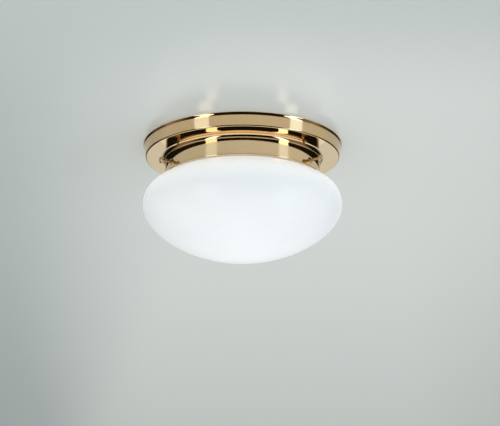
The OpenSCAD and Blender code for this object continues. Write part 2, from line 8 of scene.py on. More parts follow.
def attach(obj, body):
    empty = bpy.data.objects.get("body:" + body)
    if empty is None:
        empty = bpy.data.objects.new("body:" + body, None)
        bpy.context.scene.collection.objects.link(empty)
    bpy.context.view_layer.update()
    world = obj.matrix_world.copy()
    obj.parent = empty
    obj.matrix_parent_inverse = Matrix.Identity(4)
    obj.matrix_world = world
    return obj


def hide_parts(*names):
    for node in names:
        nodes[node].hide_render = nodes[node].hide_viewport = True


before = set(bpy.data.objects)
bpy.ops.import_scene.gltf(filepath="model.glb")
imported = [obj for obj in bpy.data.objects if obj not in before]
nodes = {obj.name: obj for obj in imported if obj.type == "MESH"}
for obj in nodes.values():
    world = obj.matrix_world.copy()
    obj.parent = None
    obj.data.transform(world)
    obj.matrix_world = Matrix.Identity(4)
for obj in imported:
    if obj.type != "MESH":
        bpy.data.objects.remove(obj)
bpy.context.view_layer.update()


# Camera
# The picture is taken from 1.3 m away and below the lamp, looking up at it. The lamp hangs a little above
# the middle of the picture, so the camera is aimed past it.
picture_px = (500, 426)
focal_px = 1020
lamp_px = (242.6, 147.7)
camera_distance = 1.294
camera_below = math.radians(19.5)
camera_turn = math.radians(-87.6)
nearest_shown = 0.05
furthest_shown = 60

camera_data = bpy.data.cameras.new("camera")
camera = bpy.data.objects.new("camera", camera_data)
bpy.context.collection.objects.link(camera)
bpy.context.scene.camera = camera
camera_data.lens = focal_px / picture_px[0] * camera_data.sensor_width
camera_data.clip_start = nearest_shown
camera_data.clip_end = furthest_shown
camera.location = camera_distance * Vector((
    math.cos(camera_below) * math.cos(camera_turn),
    math.cos(camera_below) * math.sin(camera_turn),
    -math.sin(camera_below)))
towards_lamp = (-camera.location).to_track_quat("-Z", "Y")
lamp_in_view = Vector((
    (lamp_px[0] - picture_px[0] / 2) / focal_px,
    (picture_px[1] / 2 - lamp_px[1]) / focal_px, -1))
camera.rotation_euler = (
    towards_lamp @ lamp_in_view.rotation_difference(Vector((0, 0, -1)))).to_euler()


# Mounting plate
# A dished steel plate that three screws hold to the ceiling. It is pressed from 1.5 mm sheet and
# stove enamelled white.

# The lamp's sizes are in millimetres, and this turns them to metres
MM = 0.001
# Blender's noise runs from 0 to 1, but nearly all of it lies between these
noise_span = (0.3, 0.7)


def linear(colour):
    """Turns an sRGB hex colour into the linear RGBA that a shader takes."""
    parts = [int(colour[i:i + 2], 16) / 255 for i in (1, 3, 5)]
    return [p / 12.92 if p <= 0.04045 else ((p + 0.055) / 1.055) ** 2.4 for p in parts] + [1.0]


def add_node(tree, kind, inputs=None, **settings):
    """Adds a node with its settings. inputs gives each socket a value, or the output that feeds it."""
    made = tree.nodes.new(kind)
    for name, value in settings.items():
        setattr(made, name, value)
    for socket, value in (inputs or {}).items():
        if isinstance(value, bpy.types.NodeSocket):
            tree.links.new(value, made.inputs[socket])
        else:
            made.inputs[socket].default_value = value
    return made


def new_material(name, **shader_values):
    """Starts a material and sets its shader's own sockets, such as Metallic or Base_Color."""
    material = bpy.data.materials.new(name)
    material.use_nodes = True
    tree = material.node_tree
    shader = tree.nodes["Principled BSDF"]
    for socket, value in shader_values.items():
        shader.inputs[socket.replace("_", " ")].default_value = value
    return material, tree, shader


def feed(tree, shader, colour, roughness, height=None, depth=None):
    """Links a pattern's colour, roughness and bump height (depth in metres) to the shader."""
    tree.links.new(colour, shader.inputs["Base Color"])
    tree.links.new(roughness, shader.inputs["Roughness"])
    if height is not None:
        bump = add_node(tree, "ShaderNodeBump", {"Height": height, "Distance": depth})
        tree.links.new(bump.outputs["Normal"], shader.inputs["Normal"])


def noise_material(name, dark, light, grain_mm, rough, bump_mm=0.0, **shader_values):
    """A finish whose colour and roughness drift between two values over grain_mm."""
    material, tree, shader = new_material(name, **shader_values)
    place = add_node(tree, "ShaderNodeTexCoord").outputs["Object"]
    grain = add_node(tree, "ShaderNodeTexNoise", {
        "Vector": place, "Scale": 1 / (grain_mm * MM), "Detail": 3}).outputs["Fac"]
    mix = add_node(tree, "ShaderNodeMix", {
        0: grain, 6: linear(dark), 7: linear(light)}, data_type="RGBA")
    spread = add_node(tree, "ShaderNodeMapRange", {
        "Value": grain, "From Min": noise_span[0], "From Max": noise_span[1],
        "To Min": rough[0], "To Max": rough[1]})
    feed(tree, shader, mix.outputs[2], spread.outputs["Result"],
         grain if bump_mm else None, bump_mm * MM)
    return material


def dress(node, material):
    """Gives a CAD node's own solid a finish."""
    mesh = nodes[node].data
    mesh.materials.clear()
    mesh.materials.append(material)


# Stove enamel has a soft gloss, over a faint orange peel about 1.6 mm wide
white_enamel = noise_material("stove_enamel", "#E2E3DE", "#ECEDE9", 1.6, (0.28, 0.4), 0.012)
dress("base_plate", white_enamel)


# Plate hardware
# Three brass studs are soldered to the back of the step. Zinc-plated washers and hexagon nuts on them
# clamp the plate to the canopy.
stud_circle = 110.5
stud_turns = (-90, 30, 150)
stud_bore = 2.05
nut_af = 7.0
nut_height = 3.2
nut_base = -13.2
nut_chamfer = 0.4
nut_chamfer_turn = math.radians(30)
nut_mouth_w = 0.25
nut_mouth_h = 0.3
nut_sharp = 20
# Points closer than the first, and edges shorter than the second, are merged; both in metres
same_point = 1e-7
no_length = 1e-8

# Bright zinc plate is a bluish satin silver, clouded in patches of 2.5 mm
zinc_plate = noise_material(
    "zinc_plated_steel", "#B9BDBE", "#CDD0CE", 2.5, (0.26, 0.42), 0.006, Metallic=1.0)
# Turned brass is bright and nearly smooth; its fine tool marks are drawn as coarse as 3 mm, to show at all
turned_brass = noise_material(
    "turned_brass", "#D9B078", "#E9C58F", 3.0, (0.16, 0.26), 0.004, Metallic=1.0)


def smooth_object(name, maker, material, sharp):
    """Makes an object from a bmesh, smooth but for edges sharper than sharp degrees."""
    bmesh.ops.recalc_face_normals(maker, faces=maker.faces)
    limit = math.radians(sharp)
    for face in maker.faces:
        face.smooth = True
    for edge in maker.edges:
        edge.smooth = len(edge.link_faces) == 2 and edge.calc_face_angle(0) < limit
    mesh = bpy.data.meshes.new(name)
    maker.to_mesh(mesh)
    maker.free()
    mesh.materials.append(material)
    made = bpy.data.objects.new(name, mesh)
    bpy.context.collection.objects.link(made)
    return made


def spin_outline(outline, steps):
    """Spins a closed outline of (radius, height) in millimetres about z and returns the bmesh."""
    turned = bmesh.new()
    points = [turned.verts.new((r * MM, 0, z * MM)) for r, z in outline]
    for a, b in zip(points, points[1:] + points[:1]):
        turned.edges.new((a, b))
    bmesh.ops.spin(turned, geom=turned.verts[:] + turned.edges[:], cent=(0, 0, 0), axis=(0, 0, 1),
                   dvec=(0, 0, 0), angle=math.tau, steps=steps, use_merge=True)
    bmesh.ops.remove_doubles(turned, verts=turned.verts, dist=same_point)
    bmesh.ops.dissolve_degenerate(turned, edges=turned.edges, dist=no_length)
    return turned


def arc(centre, radius, start, end, steps):
    """Points of (radius, height) on an arc, in millimetres and degrees."""
    turns = [math.radians(start + (end - start) * i / steps) for i in range(steps + 1)]
    return [(centre[0] + radius * math.cos(t), centre[1] + radius * math.sin(t)) for t in turns]


def hexagon_nut(centre):
    """A nut with chamfered corners: the two widest rings of a round blank are moved to the hexagon."""
    flat_r = nut_af / 2
    # A hair wider than the flats, which tells the rings that are to be moved from the others
    widest_r = flat_r + 0.01
    mouth_r = stud_bore + nut_mouth_w
    blank = spin_outline([
        (mouth_r, 0), (flat_r, 0), (widest_r, nut_chamfer), (widest_r, nut_height - nut_chamfer),
        (flat_r, nut_height), (mouth_r, nut_height), (stud_bore, nut_height - nut_mouth_h),
        (stud_bore, nut_mouth_h)], steps=72)
    side = math.pi / 3
    for vert in blank.verts:
        if vert.co.xy.length / MM > (flat_r + widest_r) / 2:
            from_flat = (math.atan2(vert.co.y, vert.co.x) + side / 2) % side - side / 2
            hexagon_r = flat_r / math.cos(from_flat)
            vert.co.xy = vert.co.xy.normalized() * hexagon_r * MM
            cut = (hexagon_r - flat_r) * math.tan(nut_chamfer_turn)
            way = 1 if vert.co.z > nut_height / 2 * MM else -1
            vert.co.z += (nut_chamfer - cut) * MM * way
    bmesh.ops.translate(blank, verts=blank.verts, vec=centre)
    return blank


for i, turn in enumerate(stud_turns, 1):
    a = math.radians(turn)
    centre = Vector((stud_circle * math.cos(a), stud_circle * math.sin(a), nut_base)) * MM
    nut = smooth_object("plate_nut_%d" % i, hexagon_nut(centre), zinc_plate, nut_sharp)
    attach(nut, "fixture")
    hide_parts("plate_nuts")
dress("plate_studs", turned_brass)
dress("plate_washers", zinc_plate)


# Cable grommet
# A black rubber grommet lines the plate's centre hole, where the supply cable comes in. It is moulded, and
# a groove round it grips the plate.

# Moulded rubber is matt, with a greyish bloom in specks of 1.2 mm
black_rubber = noise_material("black_rubber", "#2C2C2E", "#3D3D40", 1.2, (0.62, 0.8), 0.01)
dress("cable_grommet", black_rubber)


# Lampholder
# A bent steel strip under the plate carries a porcelain lampholder on its side. A brass shell with a rolled
# thread and a sprung tongue in it take the bulb's cap.

# Slip-cast porcelain is creamy and a little wavy over 6 mm, under a clear, wet-looking glaze
porcelain = noise_material(
    "glazed_porcelain", "#ECE9E0", "#F5F3EC", 6.0, (0.3, 0.4), 0.01, Coat_Weight=1.0, Coat_Roughness=0.04)
# Stamped contact brass isn't lacquered, so it is duller and browner, in patches of 2 mm
contact_brass = noise_material(
    "contact_brass", "#C7A065", "#D9B57C", 2.0, (0.25, 0.38), 0.004, Metallic=1.0)
dress("holder_bracket", zinc_plate)
dress("bracket_screws", zinc_plate)
dress("holder_body", porcelain)
dress("holder_shell", contact_brass)
dress("holder_contact", contact_brass)
dress("holder_terminals", contact_brass)
dress("holder_terminal_screws", zinc_plate)
dress("holder_screws", zinc_plate)


# Terminal block and earth
# The supply is joined in a moulded three-pole block with brass sleeves. The earth wire ends in a tinned
# lug under a screw and a toothed washer on the plate.

# Moulded plastic has an even colour and a fine spark-eroded grain, drawn 0.9 mm wide so that it shows
cream_plastic = noise_material("moulded_cream_plastic", "#E6E3D8", "#EFEDE4", 0.9, (0.42, 0.55), 0.006)
# Hot-dipped tin is a warm, soft silver that ran out in patches of 1.5 mm
tinned_copper = noise_material("tinned_copper", "#C9C2AE", "#D6D1C2", 1.5, (0.24, 0.36), 0.004, Metallic=1.0)
dress("terminal_block", cream_plastic)
dress("terminal_sleeves", contact_brass)
dress("terminal_screws", zinc_plate)
dress("terminal_block_screw", zinc_plate)
dress("earth_screw", zinc_plate)
dress("earth_washer", zinc_plate)
dress("earth_lug", tinned_copper)


# Wires
# Three single wires of 2.6 mm run from the block to the lampholder and to the earth lug. Their
# insulation is extruded PVC, and the earth wire's has two yellow stripes.
wire_radius = 1.3
wire_sharp = 50
route_steps = 8
# A wire's face is striped where it stands more than this share of the radius above or below its middle
stripe_from = 0.7
# The points that a wire passes through, in millimetres. Where no height is said, it is the block's poles'
pole_z = -8.0
wire_routes = {
    "live_wire": [(-15, 26), (-18, 26), (-23, 26), (-40.5, 24, -12), (-56.5, 17, -20), (-66.5, 12, -32.5),
                  (-68.5, 11, -41.5), (-68.5, 11, -47.5)],
    "neutral_wire": [(-15, 36), (-18, 36), (-23, 36), (-38.5, 31, -11), (-56.5, 10, -12), (-66.5, -4, -20),
                     (-67.5, -11, -32.5), (-68.5, -11, -41.5), (-68.5, -11, -47.5)],
    "earth_wire": [(-15, 46), (-22, 46), (-27.5, 47, -5.7), (-32, 48, -3.7), (-34, 48, -3.7),
                   (-36, 48, -3.7)],
}

# Extruded PVC is smooth and a little glossy, and its colour drifts slowly along the wire, over 4 mm
brown_pvc = noise_material("brown_pvc", "#5F3821", "#70452B", 4.0, (0.32, 0.42))
blue_pvc = noise_material("blue_pvc", "#2A5699", "#3565AC", 4.0, (0.32, 0.42))
green_pvc = noise_material("green_pvc", "#3F7F2C", "#4C8E35", 4.0, (0.32, 0.42))
yellow_pvc = noise_material("yellow_pvc", "#D9BE2B", "#E6CC3C", 4.0, (0.32, 0.42))


def smooth_route(points):
    """Passes a smooth curve through the chosen points of a wire, as the CAD solid does."""
    points = [Vector((*p, pole_z) if len(p) == 2 else p) for p in points]
    route = []
    for i in range(len(points) - 1):
        a, b = points[max(i - 1, 0)], points[i]
        c, d = points[i + 1], points[min(i + 2, len(points) - 1)]
        for s in range(route_steps):
            t = s / route_steps
            route.append(0.5 * (2 * b + (c - a) * t + (2 * a - 5 * b + 4 * c - d) * t * t
                                + (3 * b - a - 3 * c + d) * t ** 3))
    return route + [points[-1]]


def wire_object(name, route, radius, material, roundness):
    """Draws a round wire along a route in millimetres and returns it as a mesh object."""
    curve = bpy.data.curves.new(name, "CURVE")
    curve.dimensions = "3D"
    curve.bevel_depth = radius * MM
    curve.bevel_resolution = roundness
    curve.use_fill_caps = True
    line = curve.splines.new("POLY")
    line.points.add(len(route) - 1)
    for point, place in zip(line.points, route):
        point.co = (*(place * MM), 1)
    drawn = bpy.data.objects.new(name + "_route", curve)
    bpy.context.collection.objects.link(drawn)
    bpy.context.view_layer.update()
    mesh = bpy.data.meshes.new_from_object(drawn.evaluated_get(bpy.context.evaluated_depsgraph_get()))
    bpy.data.objects.remove(drawn)
    maker = bmesh.new()
    maker.from_mesh(mesh)
    bpy.data.meshes.remove(mesh)
    return smooth_object(name, maker, material, wire_sharp)


def stripe_wire(piece, route, stripe):
    """Gives the wire a stripe along its top and one along its underside, as earth wires have."""
    piece.data.materials.append(stripe)
    for face in piece.data.polygons:
        axis = min(route, key=lambda point: (point * MM - face.center).length)
        rise = face.center.z / MM - axis.z
        face.material_index = int(abs(rise) > wire_radius * stripe_from)


for wire, (material, slot) in {"live_wire": (brown_pvc, "brown_insulation"),
                               "neutral_wire": (blue_pvc, "blue_insulation"),
                               "earth_wire": (green_pvc, "green_yellow_insulation")}.items():
    route = smooth_route(wire_routes[wire])
    piece = wire_object(wire + "_pvc", route, wire_radius, material, roundness=5)
    if wire == "earth_wire":
        stripe_wire(piece, route, yellow_pvc)
    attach(piece, "fixture")
    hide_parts(wire)


# Canopy
# A stepped pan spun from 1 mm brass sheet: a flared foot, a flat step and a deep collar whose lower edge is
# rolled into a hem. It is polished and lacquered.
foot_r = 125.0
foot_rounding = 0.15
foot_edge = 0.5
foot_h = 2.2
foot_flare = 1.5
step_r = 122.0
step_h = 16.5
step_edge = 1.8
collar_r = 97.0
collar_end = 42.5
# The screws' bushes lie between these two heights, where the collar's wall has more rows
bush_heights = (-29.0, -39.0)
fillet_r = 5.5
sheet = 1.0
hem_r = 1.2
# Inside, the rolled sheet ends at the first height above the collar's edge and leaves the wall at the second
hem_heights = (1.4 * hem_r, 2.4 * hem_r)
canopy_sharp = 40

# Polished brass under lacquer mirrors the room, warm and all but sharp. Spinning leaves rings 0.6 mm apart,
# which polishing nearly takes out; the sheet waves over 28 mm, and wiping clouds its gloss over 14 mm
spin_ring = 0.6 * MM
spin_ring_depth = 0.0004 * MM
sheet_wave = 28 * MM
sheet_wave_depth = 0.02 * MM
wiped_patch = 14 * MM
wiped_rough = (0.035, 0.075)
polished_brass, tree, shader = new_material(
    "polished_brass", Metallic=1.0, Coat_Weight=0.15, Coat_Roughness=0.05)
place = add_node(tree, "ShaderNodeTexCoord").outputs["Object"]
level = add_node(tree, "ShaderNodeVectorMath", {0: place, 1: (1, 1, 0)}, operation="MULTIPLY")
radius = add_node(tree, "ShaderNodeVectorMath", {0: level.outputs["Vector"]}, operation="LENGTH")
height = add_node(tree, "ShaderNodeSeparateXYZ", {0: place})
along_sheet = add_node(tree, "ShaderNodeMath", {
    0: radius.outputs["Value"], 1: height.outputs["Z"]}, operation="ADD")
rings = add_node(tree, "ShaderNodeTexNoise", {
    "W": along_sheet.outputs[0], "Scale": 1 / spin_ring, "Detail": 2.0}, noise_dimensions="1D")
waves = add_node(tree, "ShaderNodeTexNoise", {"Vector": place, "Scale": 1 / sheet_wave, "Detail": 1.0})
patches = add_node(tree, "ShaderNodeTexNoise", {"Vector": place, "Scale": 1 / wiped_patch, "Detail": 5.0})
tint = add_node(tree, "ShaderNodeMix", {
    0: patches.outputs["Fac"], 6: linear("#F7D4A5"), 7: linear("#FDDFB4")}, data_type="RGBA")
gloss = add_node(tree, "ShaderNodeMapRange", {
    "Value": patches.outputs["Fac"], "From Min": 0.35, "From Max": 0.7,
    "To Min": wiped_rough[0], "To Max": wiped_rough[1]})
ring_bump = add_node(tree, "ShaderNodeBump", {"Height": rings.outputs["Fac"], "Distance": spin_ring_depth})
wave_bump = add_node(tree, "ShaderNodeBump", {
    "Height": waves.outputs["Fac"], "Distance": sheet_wave_depth, "Normal": ring_bump.outputs["Normal"]})
feed(tree, shader, tint.outputs[2], gloss.outputs["Result"])
tree.links.new(wave_bump.outputs["Normal"], shader.inputs["Normal"])


def rows(start, end, steps):
    """Evenly spaced points after start, up to end."""
    return [tuple(s + (e - s) * i / steps for s, e in zip(start, end)) for i in range(1, steps + 1)]


wall_top = (foot_r - foot_flare, -foot_edge - foot_h)
corner = (step_r - step_edge, -step_h + step_edge)
fillet = (collar_r + fillet_r, -step_h - fillet_r)
hem = (collar_r - hem_r, -collar_end + hem_r)
outer = [(foot_r - foot_rounding, 0), (foot_r, -foot_rounding), (foot_r, -foot_edge)]
outer += rows((foot_r, -foot_edge), wall_top, steps=3)
outer += rows(wall_top, (step_r, corner[1]), steps=8)
outer += arc(corner, step_edge, 0, -90, steps=12)[1:]
outer += rows((corner[0], -step_h), (fillet[0], -step_h), steps=10)
outer += arc(fillet, fillet_r, 90, 180, steps=28)[1:]
outer += rows((collar_r, fillet[1]), (collar_r, bush_heights[0]), steps=3)
outer += rows((collar_r, bush_heights[0]), (collar_r, bush_heights[1]), steps=4)
outer += [(collar_r, hem[1])] + arc(hem, hem_r, 0, -180, steps=20)[1:]
inner = [(collar_r - 2 * hem_r, -collar_end + hem_heights[0]),
         (collar_r - sheet, -collar_end + hem_heights[1])]
inner += arc(fillet, fillet_r + sheet, 180, 90, steps=12)
inner += arc(corner, step_edge - sheet, -90, 0, steps=6)
inner += [(wall_top[0] - sheet, wall_top[1]), (foot_r - sheet, -foot_edge), (foot_r - sheet, 0)]
canopy = smooth_object(
    "spun_canopy", spin_outline(outer + inner, steps=288), polished_brass, canopy_sharp)
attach(canopy, "fixture")
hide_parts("canopy")


# Thumb screws
# Three turned brass screws press on the glass. Each has an M4 thread, which runs in a bush in the collar, and
# a round knob with a fine diamond knurl, so that fingers can grip it.
screw_turns = (-150, -30, 90)
screw_z = -34.0
screw_travel = 10.5
tip_at = 84.3
thread_r = 2.0
core_r = 1.62
pitch = 0.7
# One turn of the thread, as radius and share of the pitch: up the flank, along the crest, down and along
tooth = [(core_r, 0), (thread_r, 0.38), (thread_r, 0.5), (core_r, 0.88), (core_r, 1)]
# Points of a thread that are closer than this, in metres, are one
same_on_thread = 1e-6
shank_sharp = 25
knob_at = 108.5
knob_len = 4.0
knob_r = 4.0
knob_edge = 0.5
neck_of_knob_r = 3.2
neck_of_knob_len = 0.8
neck_of_knob_edge = 0.2
# The knob's end is dished this deep, and the dish slopes between these two distances from its edge
dish_depth = 0.25
dish_slope = (1.4, 1.8)
knob_hole_end = 110.9
knob_hole_play = 0.05
shank_end_play = 0.2
knurl_count = 26
knurl_depth = 0.32
knurl_rows = 6
knob_sharp = 12

# Lacquered turned brass is paler than the canopy and takes softer reflections. The tool marks are finer
# than the picture shows and are drawn 2.2 mm wide
screw_brass = noise_material(
    "lacquered_turned_brass", "#C4AB85", "#D6BE98", 2.2, (0.07, 0.14), 0.002, Metallic=1.0)
dress("screw_bushes", screw_brass)


def screw_frame(turn):
    """Stands a piece that was made on z on a screw's axis, so its z runs outward from the lamp."""
    return (Matrix.Rotation(math.radians(turn), 4, "Z") @ Matrix.Translation((0, 0, screw_z * MM))
            @ Matrix.Rotation(math.radians(90), 4, "Y"))


def spun_thread(tooth, lead, spin_from, start, end, steps):
    """A helical thread on z: one tooth of it is spun with a lift from spin_from, then cut at both ends."""
    thread = bmesh.new()
    points = [thread.verts.new((r * MM, 0, (spin_from + (z - 1) * lead) * MM)) for r, z in tooth]
    for a, b in zip(points, points[1:]):
        thread.edges.new((a, b))
    turns = math.ceil((end - spin_from) / lead) + 2
    bmesh.ops.spin(thread, geom=thread.verts[:] + thread.edges[:], cent=(0, 0, 0), axis=(0, 0, 1),
                   dvec=(0, 0, lead * MM / steps), angle=math.tau * turns, steps=steps * turns)
    bmesh.ops.remove_doubles(thread, verts=thread.verts, dist=same_on_thread)
    for height, way in ((start, -1), (end, 1)):
        bmesh.ops.bisect_plane(
            thread, geom=thread.verts[:] + thread.edges[:] + thread.faces[:], dist=no_length,
            plane_co=(0, 0, height * MM), plane_no=(0, 0, way), clear_outer=True)
    return thread


def threaded_shank():
    """A screw's shank on z, closed at both ends."""
    shank = spun_thread(tooth, pitch, tip_at, tip_at, knob_hole_end - shank_end_play, steps=20)
    bmesh.ops.holes_fill(shank, edges=[e for e in shank.edges if e.is_boundary], sides=0)
    return shank


def knurled_knob():
    """A knob on z. Every second point of its grip, but for the end rows, is sunk, which leaves diamonds."""
    knob_end = knob_at + knob_len
    grip_start = knob_at + neck_of_knob_len + knob_edge
    grip_end = knob_end - knob_edge
    row_h = (grip_end - grip_start) / knurl_rows
    outline = [(thread_r + knob_hole_play, knob_at), (neck_of_knob_r - neck_of_knob_edge, knob_at),
               (neck_of_knob_r, knob_at + neck_of_knob_edge), (neck_of_knob_r, knob_at + neck_of_knob_len),
               (knob_r - knob_edge, knob_at + neck_of_knob_len)]
    outline += [(knob_r, grip_start + row_h * i) for i in range(knurl_rows + 1)]
    outline += [(knob_r - knob_edge, knob_end), (knob_r - dish_slope[0], knob_end),
                (knob_r - dish_slope[1], knob_end - dish_depth), (0, knob_end - dish_depth),
                (0, knob_hole_end), (thread_r + knob_hole_play, knob_hole_end)]
    knob = spin_outline(outline, 2 * knurl_count)
    for vert in knob.verts:
        row = (vert.co.z / MM - grip_start) / row_h
        on_grip = vert.co.xy.length / MM > knob_r - 0.01
        if on_grip and 0.5 < row < knurl_rows - 0.5:
            column = round(math.atan2(vert.co.y, vert.co.x) / math.pi * knurl_count)
            if (column + round(row)) % 2:
                vert.co.xy *= (knob_r - knurl_depth) / knob_r
    return knob


for i, turn in enumerate(screw_turns, 1):
    for node, maker, sharp in (("screw_stud_%d" % i, threaded_shank(), shank_sharp),
                               ("screw_knob_%d" % i, knurled_knob(), knob_sharp)):
        bmesh.ops.transform(maker, matrix=screw_frame(turn), verts=maker.verts)
        piece = smooth_object(node + "_turned", maker, screw_brass, sharp)
        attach(piece, node)
        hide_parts(node)


# Shade
# One piece of blown opal glass: a bowl, a full shoulder and a neck with a flared lip that the screws hold
# under. It is milky all through, and its skin is etched to a satin.
shade_r = 123.5
bowl_h = 67.5
shoulder_h = 48.0
bowl_full = 1.8
shoulder_full = 2.5
neck_r = 84.0
neck_straight = 1.1
turn_r = 3.5
glass = 3.0
shade_drop = 24.0
lip_flare = 3.2
lip_h = 2.0
lip_slope = shade_drop / screw_travel
lip_start = screw_z + thread_r
lip_end = lip_start + lip_flare * lip_slope
lip_top = lip_end + lip_h
lip_r = neck_r + lip_flare
lip_round = 0.8 * min(lip_h, glass / 2)
curve_steps = 40
shade_sharp = 40
# The shoulder's slope is worked out at this share of the turn's radius outside the neck, and its rim lies
# where it meets the turn
join_at = 0.72
turn_centre = (neck_r + turn_r, screw_z - thread_r - neck_straight)
join_r = neck_r + turn_r * join_at
join_slope = math.atan(shoulder_h / shade_r * (join_r / shade_r) ** (shoulder_full - 1)
                       * (1 - (join_r / shade_r) ** shoulder_full) ** (1 / shoulder_full - 1))
meet = (turn_centre[0] - turn_r * math.sin(join_slope), turn_centre[1] - turn_r * math.cos(join_slope))
shade_z = meet[1] - shoulder_h * (1 - (meet[0] / shade_r) ** shoulder_full) ** (1 / shoulder_full)


def glass_face(inset):
    """One face of the glass, from the middle of the bowl up to the lip, moved in by inset."""
    wide = shade_r - inset
    turn = turn_r + inset
    end_r = turn_centre[0] - turn * math.sin(join_slope)
    end_a = math.asin((end_r / wide) ** (shoulder_full / 2))
    face = []
    for i in range(curve_steps + 1):
        a = math.pi / 2 * i / curve_steps
        face.append((wide * math.sin(a) ** (2 / bowl_full),
                     shade_z - (bowl_h - inset) * math.cos(a) ** (2 / bowl_full)))
    for i in range(1, curve_steps):
        a = math.pi / 2 - (math.pi / 2 - end_a) * i / curve_steps
        face.append((wide * math.sin(a) ** (2 / shoulder_full),
                     shade_z + (shoulder_h - inset) * math.cos(a) ** (2 / shoulder_full)))
    face += arc(turn_centre, turn, 270 - math.degrees(join_slope), 180, steps=12)
    return face + [(neck_r - inset, lip_start), (lip_r - inset, lip_end)]


# Opal glass scatters light in its wall, so it looks soft and white. Its look of being a little lit from
# within is a painted glow, set as emission, though the shade is no lamp. It is clouded in patches of 20 to
# 40 mm, where its blown wall is uneven too, and its satin skin varies over 1.2 mm
milk_cloud = 32 * MM
satin_grain = 1.2 * MM
satin_rough = (0.24, 0.36)
wall_unevenness = 0.15 * MM
scatter_depth = (0.004, 0.0035, 0.003)
opal_glass, tree, shader = new_material(
    "opal_glass", IOR=1.5, Coat_Weight=0.15, Coat_Roughness=0.25, Subsurface_Weight=0.35,
    Subsurface_Radius=scatter_depth, Subsurface_Scale=1.0, Emission_Color=linear("#F8F7F4"))
place = add_node(tree, "ShaderNodeTexCoord").outputs["Object"]
cloud = add_node(tree, "ShaderNodeTexNoise", {"Vector": place, "Scale": 1 / milk_cloud, "Detail": 4.0})
satin = add_node(tree, "ShaderNodeTexNoise", {"Vector": place, "Scale": 1 / satin_grain, "Detail": 2.0})
milk = add_node(tree, "ShaderNodeMix", {
    0: cloud.outputs["Fac"], 6: linear("#D5D9DD"), 7: linear("#DDE1E5")}, data_type="RGBA")
skin = add_node(tree, "ShaderNodeMapRange", {
    "Value": satin.outputs["Fac"], "To Min": satin_rough[0], "To Max": satin_rough[1]})
feed(tree, shader, milk.outputs[2], skin.outputs["Result"], cloud.outputs["Fac"], wall_unevenness)
# The glass gets a painted glow by height, not light from the bulb. It is strongest at the shoulder, standing
# in for light that the collar and plate throw back, and drops again at the neck as painted shade under the
# collar
bowl_painted_glow = 0.28
shoulder_painted_glow = 0.5
neck_painted_glow = 0.24
height = add_node(tree, "ShaderNodeSeparateXYZ", {0: place}).outputs["Z"]
glow = add_node(tree, "ShaderNodeMapRange", {
    "Value": height, "From Min": -85 * MM, "From Max": -48 * MM,
    "To Min": bowl_painted_glow, "To Max": shoulder_painted_glow}, interpolation_type="SMOOTHSTEP")
painted_neck_shade = add_node(tree, "ShaderNodeMapRange", {
    "Value": height, "From Min": -46 * MM, "From Max": -43 * MM,
    "To Min": glow.outputs["Result"], "To Max": neck_painted_glow})
tree.links.new(painted_neck_shade.outputs["Result"], shader.inputs["Emission Strength"])

lip_rim = arc((lip_r - lip_round, lip_top - lip_round), lip_round, 0, 90, steps=8)
lip_rim += arc((lip_r - glass + lip_round, lip_top - lip_round), lip_round, 90, 180, steps=8)
shade_outline = glass_face(0) + lip_rim + glass_face(glass)[::-1]
shade = smooth_object("opal_shade", spin_outline(shade_outline, steps=256), opal_glass, shade_sharp)
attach(shade, "shade")
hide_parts("shade")


# Bulb
# A frosted filament bulb that lies on its side. Its aluminium cap is drawn from sheet and rolled, so the
# thread is a soft wave, and black glass insulates the soldered tip contact.
bulb_z = -62.0
tip_x = -59.5
bulb_place = Matrix.Translation((tip_x * MM, 0, bulb_z * MM)) @ Matrix.Rotation(math.radians(90), 4, "Y")
# From here on, distances run from the tip along the bulb
contact_dome = [(0, 0), (1.2, 0.02), (2.4, 0.1), (3.6, 0.35), (4.5, 0.8), (4.8, 1.2), (4.8, 1.5), (0, 1.5)]
contact_sharp = 50
insulator_start = 1.5
insulator_flat_r = 6.0
insulator_round = 4.0
insulator_r = 10.3
insulator_end = 6.5
insulator_sharp = 35
cap_foot = 5.5
cap_foot_r = 10.9
cap_r = 13.1
cap_pitch = 3.6
cap_depth = 0.9
cap_thread_start = 7.0
cap_thread_end = 23.8
cap_wave_points = 8
cap_steps = 48
cap_sheet = 0.4
cap_sharp = 60
skirt_r = 14.0
skirt_start = 24.8
skirt_end = 27.0
envelope_start = 25.5
envelope_r = 13.5
envelope_neck_end = 31.0
envelope_wall = 0.8
envelope_sharp = 35
bulb_r = 30.0
bulb_centre = 75.0
# The neck widens along a soft wave that ends at these shares of the bulb's radius: out, and before its centre
neck_join = (0.94, 0.34)
neck_rows = 12

# Rolled aluminium is a plain silver with a soft sheen, streaked over 3.5 mm
cap_metal = noise_material("rolled_aluminium", "#C6C9CA", "#D6D9DA", 3.5, (0.2, 0.32), 0.003, Metallic=1.0)
# Pressed black glass is deep and shiny, and dips over 3 mm
black_glass = noise_material("black_glass", "#17171B", "#232329", 3.0, (0.12, 0.2), 0.01)
# Soft solder is grey and dull, with a skin that shrank in ripples of 1.6 mm
solder = noise_material("soft_solder", "#A9ABAC", "#BBBDBE", 1.6, (0.35, 0.5), 0.02, Metallic=1.0)
# Drawn nickel wire is a darker, yellowish grey, with die marks drawn 1 mm long
nickel_wire = noise_material("nickel_wire", "#93958F", "#A5A7A2", 1.0, (0.25, 0.35), Metallic=1.0)
# Acid-etched glass lets light through but blurs it white. The etch is finer and is drawn 0.8 mm wide
frosted_glass = noise_material(
    "frosted_glass", "#F2F4F4", "#FAFBFB", 0.8, (0.42, 0.55), 0.004, Transmission_Weight=0.3, IOR=1.5)
# Drawn glass tube is clear and glossy, and bends what is seen through it over 12 mm
clear_glass = noise_material(
    "clear_glass", "#EEF5F6", "#F7FBFB", 12.0, (0.02, 0.05), 0.01, Transmission_Weight=1.0, IOR=1.5)


